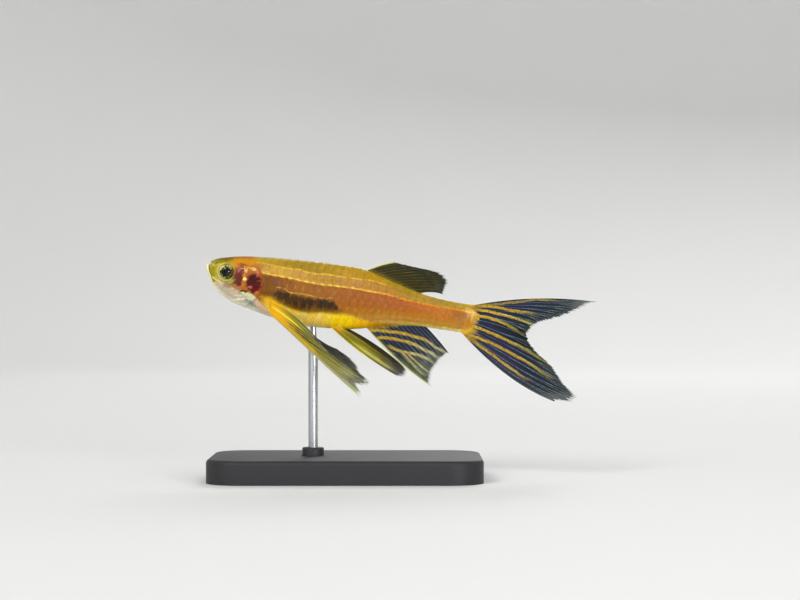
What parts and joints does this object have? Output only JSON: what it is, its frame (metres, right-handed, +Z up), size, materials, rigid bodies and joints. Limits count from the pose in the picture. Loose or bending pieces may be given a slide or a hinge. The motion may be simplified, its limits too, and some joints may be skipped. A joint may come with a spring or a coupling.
{
  "type": "long-finned golden zebra danio on a display stand",
  "caption": "Life-size still model of a swimming zebra danio, a small slim aquarium fish with veil-like ribbed fins, held over a flat base by one rod.",
  "frame": {"origin": "centre of the model's outline on the surface it stands on", "axes": "-X towards the fish's head and +X towards its tail, -Y towards its left side, +Z up"},
  "size_m": [0.0574, 0.024, 0.0328],
  "materials": {
    "skin": "wet, finely scaled, golden with lengthwise yellow lines",
    "gill_cover": "glossy, see-through over dark red gills",
    "eye": "polished",
    "fin": "translucent ribbed membrane with yellow bands",
    "stand": "satin black",
    "rod": "brushed"
  },
  "bodies": {
    "root": {"head": "skin", "gill_cover_left": "gill_cover", "gill_cover_right": "gill_cover", "eye_left": "eye", "eye_right": "eye", "trunk": "skin", "tail": "skin", "tail_stalk": "skin", "dorsal_fin": "fin", "anal_fin": "fin", "tail_fin_upper": "fin", "tail_fin_lower": "fin", "pelvic_fin_left": "fin", "pelvic_fin_right": "fin", "pectoral_fin_left": "fin", "pectoral_fin_right": "fin", "stand_base": "stand", "stand_rod": "rod"}
  },
  "joints": []
}
